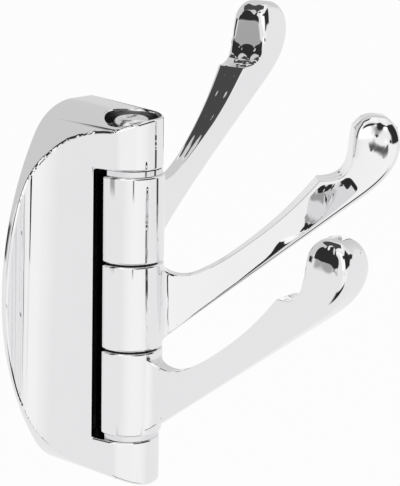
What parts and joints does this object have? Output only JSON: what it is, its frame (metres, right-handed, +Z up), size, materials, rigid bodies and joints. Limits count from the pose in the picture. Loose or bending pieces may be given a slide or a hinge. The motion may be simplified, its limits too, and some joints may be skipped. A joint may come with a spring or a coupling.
{
  "type": "towel hook",
  "caption": "Wall hook with swinging arms on one upright pivot, in a D-shaped housing with a flared shield; each arm ends in a notch and a round knob.",
  "frame": {"origin": "on the wall plane, straight behind the pivot axis, at mid-height of the three knuckles", "axes": "+Z up along the pivot, +Y into the wall, so the hook stands out towards -Y; +X to the right seen from the room"},
  "size_m": [0.1002, 0.0979, 0.1314],
  "materials": {
    "chrome": "polished chrome plate on a zinc casting",
    "chrome_steel": "bright plated steel",
    "zinc_steel": "zinc-plated sheet and screw",
    "nylon": "plain dark nylon washer"
  },
  "bodies": {
    "housing": {"body": "chrome", "pivot_screw": "chrome_steel", "end_washer_top": "chrome_steel", "end_washer_bottom": "chrome_steel", "knuckle_washer_upper": "nylon", "knuckle_washer_lower": "nylon", "wall_plate": "zinc_steel", "set_screw": "zinc_steel"},
    "top_swing": {"arm_top": "chrome"},
    "middle_swing": {"arm_middle": "chrome"},
    "lower_swing": {"arm_lower": "chrome"}
  },
  "joints": [
    {"name": "arm_top_hinge", "type": "hinge", "parent": "housing", "child": "top_swing", "pos_m": [0, -0.0242, 0.025], "axis": [0, 0, 1], "range_deg": [-188.5, 1.5]},
    {"name": "arm_middle_hinge", "type": "hinge", "parent": "housing", "child": "middle_swing", "pos_m": [0, -0.0242, 0], "axis": [0, 0, 1], "range_deg": [-134, 56]},
    {"name": "arm_lower_hinge", "type": "hinge", "parent": "housing", "child": "lower_swing", "pos_m": [0, -0.0242, -0.025], "axis": [0, 0, 1], "range_deg": [-95.5, 94.5]}
  ]
}
